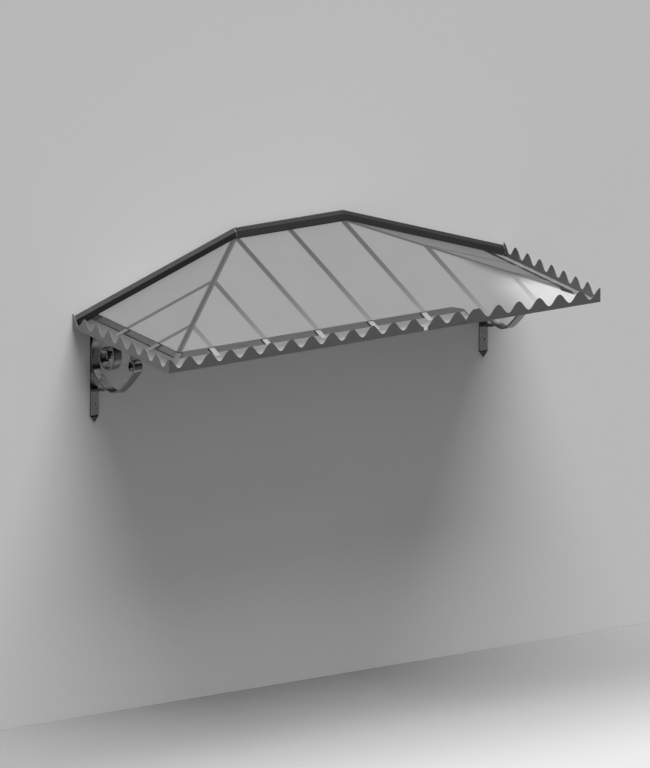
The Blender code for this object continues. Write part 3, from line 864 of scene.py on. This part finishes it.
def sweep_tree(name):
    """Sweep a rounded bar section along a curve that lies in the YZ plane."""
    tree, given, result = start_tree(name, ("Width", "Thickness", "Edge"))
    across = add_node(tree, "GeometryNodeSetCurveNormal", mode="FREE")
    across.inputs["Normal"].default_value = (1, 0, 0)
    feed(tree, given["Geometry"], across.inputs["Curve"])
    section = add_node(tree, "GeometryNodeCurvePrimitiveQuadrilateral", mode="RECTANGLE")
    feed_all(tree, {"Width": given["Width"], "Height": given["Thickness"]}, section)
    rounded = add_node(tree, "GeometryNodeFilletCurve", mode="POLY")
    feed_all(tree, {"Curve": section.outputs[0], "Count": EDGE_STEPS,
                    "Radius": given["Edge"]}, rounded)
    body = add_node(tree, "GeometryNodeCurveToMesh")
    feed_all(tree, {"Curve": across.outputs[0], "Profile Curve": rounded.outputs[0],
                    "Fill Caps": True}, body)
    close_tree(tree, body.outputs[0], given["Material"], result)
    return tree


SHARED_GROUPS = {
    "Coat grain": grain_group,
    "Painted top light": top_light_group,
    "Strip tones": strip_group,
    "Cut highlight": cut_group,
    "Bent faces": bent_group,
    "Bars below": bars_group,
    "Wavy edge": wave_tree,
    "Bent bar": sweep_tree,
}


# Wavy strips. A strip is made along X with its outer face at y = 0, inside at y > 0.

def skin_rings(bm, rise, rings):
    """A closed body over rings of (x, inset, height, rise) points."""
    rows = []
    for ring in rings:
        row = []
        for x, inset, height, lift in ring:
            vert = bm.verts.new((x, inset, height))
            vert[rise] = lift
            row.append(vert)
        rows.append(row)
    for low, high in zip(rows, rows[1:]):
        for i, vert in enumerate(low):
            j = (i + 1) % len(low)
            bm.faces.new((vert, low[j], high[j], high[i]))
    bm.faces.new(rows[0])
    bm.faces.new(tuple(reversed(rows[-1])))


def wall_rings(first, last, mitres, faces, foot):
    """Rings along the upright wall, cut back by the inset at a mitred end."""
    strips = settings("awning_strips")
    count = math.ceil((last - first) / strips.pitch * strips.stations)
    section = ((faces[0], foot, 0), (faces[0], 0, 1), (faces[1], 0, 1), (faces[1], foot, 0))
    rings = []
    for i in range(count + 1):
        ring = []
        for inset, height, lift in section:
            start = first + (inset + GAP) * mitres[0]
            end = last - (inset + GAP) * mitres[1]
            ring.append((start + (end - start) * i / count, inset, height, lift))
        rings.append(ring)
    return rings


def flange_rings(angle, ends, root, foot):
    """The sloping flange's two end rings, from its root in the wall inwards."""
    width = settings("awning_strips").flange
    slope = math.tan(angle)
    section = ((root, root * slope + foot), (root, root * slope),
               (width, width * slope), (width, width * slope + foot))
    return [[(end(inset), inset, height, 0) for inset, height in section] for end in ends]


def strip_mesh(name, angle, first, last, mitres=(False, False), flange_ends=(),
               faces=(0, SHEET)):
    """Upright wall and, where its ends are given, the flange let into it. Faces are the
    insets of the wall's outer and inner face."""
    foot = -SHEET / math.cos(angle)
    bm = bmesh.new()
    rise = bm.verts.layers.float.new("rise")
    skin_rings(bm, rise, wall_rings(first, last, mitres, faces, foot))
    if flange_ends:
        skin_rings(bm, rise, flange_rings(angle, flange_ends, faces[1] / 2, foot))
    mesh = bpy.data.meshes.new(name)
    bmesh.ops.recalc_face_normals(bm, faces=bm.faces)
    bm.to_mesh(mesh)
    bm.free()
    return mesh


def make_strip(node, material, transform, crest, **shape):
    """One strip from the wave tree, set in its place. The crest is where a wave has one."""
    strips = settings("awning_strips")
    source = new_object(f"{node}_base", strip_mesh(f"{node}_base", **shape))
    values = {"Pitch": strips.pitch, "Swing": strips.swing, "Mean": strips.mean,
              "Crest": crest, "Material": material}
    finish_piece(source, "Wavy edge", values, f"{node}_wavy", node, STRIP_CREASE, transform)


def hip_end(inset, start, along, across):
    """How far a flange reaches along its eave at an inset, to end beside the hip bar. The
    hip runs from the start over a length along the eave and a length across it."""
    return start + ((across - inset) * along - HIP_SIDE * HIP_PLAN) / across


class AWNING_OT_strips(Operator):
    """Make the wavy eave strips and the lapped piece over their joint"""
    bl_idname = "awning.strips"
    bl_label = "Wavy strips"

    def execute(self, context):
        strips = settings("awning_strips")
        front = Matrix.Translation((0, -DEPTH, EAVE_Z))
        front_paint = strip_material("front")
        left_end = strips.left_length - HALF
        right_start = left_end + strips.slot

        def front_end(inset):
            return hip_end(inset, RIDGE / 2, SIDE_RUN, DEPTH)

        def side_end(inset):
            return hip_end(inset, 0, DEPTH, SIDE_RUN)

        make_strip("front_strip_left", front_paint, front, -HALF, angle=FRONT_ANGLE,
                   first=-HALF, last=left_end, mitres=(True, False),
                   flange_ends=(lambda inset: -front_end(inset),
                                lambda inset: right_start - GAP))
        make_strip("front_strip_right", front_paint, front, HALF, angle=FRONT_ANGLE,
                   first=right_start, last=HALF, mitres=(False, True),
                   flange_ends=(lambda inset: right_start, front_end))
        low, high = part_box("strip_splice")
        make_strip("strip_splice", front_paint, front, (low.x + high.x) / 2,
                   angle=FRONT_ANGLE, first=low.x, last=high.x, faces=(-GAP - SHEET, -GAP))

        for side, hand in (("left", -1), ("right", 1)):
            turn = Matrix(((0, -hand, 0), (-1, 0, 0), (0, 0, 1))).to_4x4()
            place = Matrix.Translation((hand * HALF, 0, EAVE_Z)) @ turn
            make_strip(f"{side}_strip", strip_material(side), place, DEPTH, angle=SIDE_ANGLE,
                       first=0, last=DEPTH, mitres=(False, True),
                       flange_ends=(lambda inset: 0, side_end))
        return {"FINISHED"}


# Scrolls

def walk(point, heading, arcs, hand):
    """Points along tangent arcs as (out, height), with the last heading."""
    out, up = point
    points = []
    for radius, degrees in arcs:
        side = heading + hand * math.pi / 2
        centre = (out + radius * math.cos(side), up + radius * math.sin(side))
        count = math.ceil(degrees / ARC_STEP)
        start = heading
        for i in range(1, count + 1):
            heading = start + hand * math.radians(degrees) * i / count
            back = heading - hand * math.pi / 2
            out = centre[0] + radius * math.cos(back)
            up = centre[1] + radius * math.sin(back)
            points.append((out, up))
    return points, heading


def scroll_points(thickness):
    """The bar's middle line from the wall coil's eye to the front coil's."""
    face = WALL_FACE + thickness / 2
    high = (face, ARM_UNDER - GAP - thickness / 2 - WALL_COIL[0][0])
    low = (face, high[1] - SCROLL_BACK)
    coil, _ = walk(high, math.pi / 2, WALL_COIL, -1)
    belly, heading = walk(low, -math.pi / 2, BELLY, 1)
    strut, heading = walk(belly[-1], heading, STRUT, 1)
    front, _ = walk(strut[-1], heading, FRONT_COIL, 1)
    return list(reversed(coil)) + [high, low] + belly + strut + front


def scroll_path(name, x, thickness):
    curve = bpy.data.curves.new(name, "CURVE")
    curve.dimensions = "3D"
    line = curve.splines.new("POLY")
    points = scroll_points(thickness)
    line.points.add(len(points) - 1)
    for point, (out, up) in zip(line.points, points):
        point.co = (x, -out, up, 1)
    return new_object(name, curve)


class AWNING_OT_scrolls(Operator):
    """Bend the scroll of each bracket from flat bar"""
    bl_idname = "awning.scrolls"
    bl_label = "Scrolls"

    def execute(self, context):
        scrolls = settings("awning_scrolls")
        for side, x in (("left", -BRACKET_X), ("right", BRACKET_X)):
            source = scroll_path(f"{side}_path", x, scrolls.thickness)
            values = {"Width": scrolls.width, "Thickness": scrolls.thickness,
                      "Edge": scrolls.edge, "Material": bent_material(side)}
            finish_piece(source, "Bent bar", values, f"{side}_scroll_bent", f"{side}_scroll",
                         SCROLL_CREASE)
        return {"FINISHED"}


# Stage

def stage_plane(name, corners, material):
    mesh = bpy.data.meshes.new(name)
    mesh.from_pydata(corners, [], [(0, 1, 2, 3)])
    plane = new_object(name, mesh)
    paint(plane, material)


def seen_directly(tree):
    """1 for what the eye sees, also in a reflection or through a sheet, otherwise 0."""
    rays = add_node(tree, "ShaderNodeLightPath").outputs
    direct = maths(tree, "MAXIMUM", rays["Is Camera Ray"], rays["Is Glossy Ray"])
    return maths(tree, "MAXIMUM", direct, rays["Is Transmission Ray"])


def stage_material(name, seen, bounce, at_wall):
    """Runs from one tone at the wall to the seen one, which on the floor is painted shade near
    the wall, and has its bounce tone where it only throws light back. It is clear from behind
    and to what lies against it, so that the awning can be seen and lit from all sides."""
    made, tree, shader = start_material(name, STAGE_COAT)
    y = axes(tree, object_place(tree))[1]
    tone = blend(tree, ramp(tree, y, -FLOOR_DARK, -FLOOR_PALE), at_wall, seen)
    feed(tree, blend(tree, seen_directly(tree), bounce, tone), shader.inputs["Base Color"])
    length = add_node(tree, "ShaderNodeLightPath").outputs["Ray Length"]
    behind = add_node(tree, "ShaderNodeNewGeometry").outputs["Backfacing"]
    hidden = maths(tree, "MAXIMUM", behind, maths(tree, "LESS_THAN", length, TOUCHING))
    clear = add_node(tree, "ShaderNodeBsdfTransparent")
    choice = add_node(tree, "ShaderNodeMixShader")
    feed(tree, hidden, choice.inputs["Fac"])
    feed(tree, shader.outputs["BSDF"], choice.inputs[1])
    feed(tree, clear.outputs["BSDF"], choice.inputs[2])
    feed(tree, choice.outputs["Shader"], tree.nodes["Material Output"].inputs["Surface"])
    return made


def add_sun(name, strength, softness, heading):
    sun = bpy.data.lights.new(name, "SUN")
    sun.energy = strength
    sun.angle = softness
    lamp = new_object(name, sun)
    lamp.rotation_mode = "QUATERNION"
    lamp.rotation_quaternion = heading.to_track_quat("-Z", "Y")


def add_surroundings(scene, fill, shine):
    """White surroundings, brighter to the eye and in reflections than as a light."""
    world = bpy.data.worlds.new("surroundings")
    world.use_nodes = True
    tree = world.node_tree
    gain = maths(tree, "MULTIPLY", seen_directly(tree), shine - fill)
    feed_all(tree, {"Color": (1.0, 1.0, 1.0), "Strength": maths(tree, "ADD", gain, fill)},
             tree.nodes["Background"])
    scene.world = world


def add_camera(scene):
    """The photograph's parallel view."""
    azimuth = math.radians(PHOTO_AZIMUTH)
    elevation = math.radians(PHOTO_ELEVATION)
    toward = Vector((math.sin(azimuth) * math.cos(elevation),
                     -math.cos(azimuth) * math.cos(elevation), math.sin(elevation)))
    right = Vector((math.cos(azimuth), math.sin(azimuth), 0))
    up = toward.cross(right)
    camera = bpy.data.cameras.new("camera")
    camera.type = "ORTHO"
    camera.ortho_scale = PHOTO_LONG_SIDE / PHOTO_SCALE
    camera.clip_end = CAMERA_CLIP
    view = new_object("camera", camera)
    place = Matrix((right, up, toward)).transposed().to_4x4()
    place.translation = (Vector((0, 0, EAVE_Z)) + right * PHOTO_RIGHT / PHOTO_SCALE
                         - up * PHOTO_DOWN / PHOTO_SCALE + toward * CAMERA_AWAY)
    view.matrix_world = place
    scene.camera = view


class AWNING_OT_stage(Operator):
    """Set the floor, the backdrop, the lights, the surroundings and the camera"""
    bl_idname = "awning.stage"
    bl_label = "Stage"

    def execute(self, context):
        stage = settings("awning_stage")
        low = EAVE_Z - stage.drop
        reach = stage.reach
        stage_plane("floor", [(-reach, -reach, low), (reach, -reach, low),
                              (reach, BACKDROP_Y, low), (-reach, BACKDROP_Y, low)],
                    stage_material("floor_paint", stage.floor, stage.shade, stage.foot))
        stage_plane("backdrop", [(-reach, BACKDROP_Y, low), (reach, BACKDROP_Y, low),
                                 (reach, BACKDROP_Y, reach), (-reach, BACKDROP_Y, reach)],
                    stage_material("backdrop_paint", stage.backdrop, stage.backdrop,
                                   stage.backdrop))
        add_sun("key", stage.key, stage.softness, KEY_HEADING)
        add_sun("front_light", stage.front_light, stage.softness, FRONT_HEADING)
        add_sun("back_light", stage.back_light, BACK_SOFTNESS, BACK_HEADING)
        add_surroundings(context.scene, stage.fill, stage.shine)
        add_camera(context.scene)
        context.scene.view_settings.view_transform = "Standard"
        return {"FINISHED"}


class AWNING_PT_panel(Panel):
    bl_idname = "AWNING_PT_panel"
    bl_label = "Awning"
    bl_space_type = "VIEW_3D"
    bl_region_type = "UI"
    bl_category = "Awning"

    def draw(self, context):
        for kind in STEPS:
            self.layout.operator(kind.bl_idname)


STEPS = (AWNING_OT_roof_bars, AWNING_OT_panes, AWNING_OT_flashings, AWNING_OT_brackets,
         AWNING_OT_strips, AWNING_OT_scrolls, AWNING_OT_stage)
GROUPS = {
    "awning_strips": AwningStrips,
    "awning_scrolls": AwningScrolls,
    "awning_colours": AwningColours,
    "awning_stage": AwningStage,
}


def register():
    for kind in (*GROUPS.values(), *STEPS, AWNING_PT_panel):
        bpy.utils.register_class(kind)
    for name, kind in GROUPS.items():
        setattr(bpy.types.Scene, name, PointerProperty(type=kind))


def unregister():
    for name in GROUPS:
        delattr(bpy.types.Scene, name)
    for kind in (AWNING_PT_panel, *STEPS, *GROUPS.values()):
        bpy.utils.unregister_class(kind)


def main():
    register()
    bpy.ops.awning.roof_bars()
    bpy.ops.awning.panes()
    bpy.ops.awning.flashings()
    bpy.ops.awning.brackets()
    bpy.ops.awning.strips()
    bpy.ops.awning.scrolls()
    bpy.ops.awning.stage()


if __name__ == "__main__":
    main()
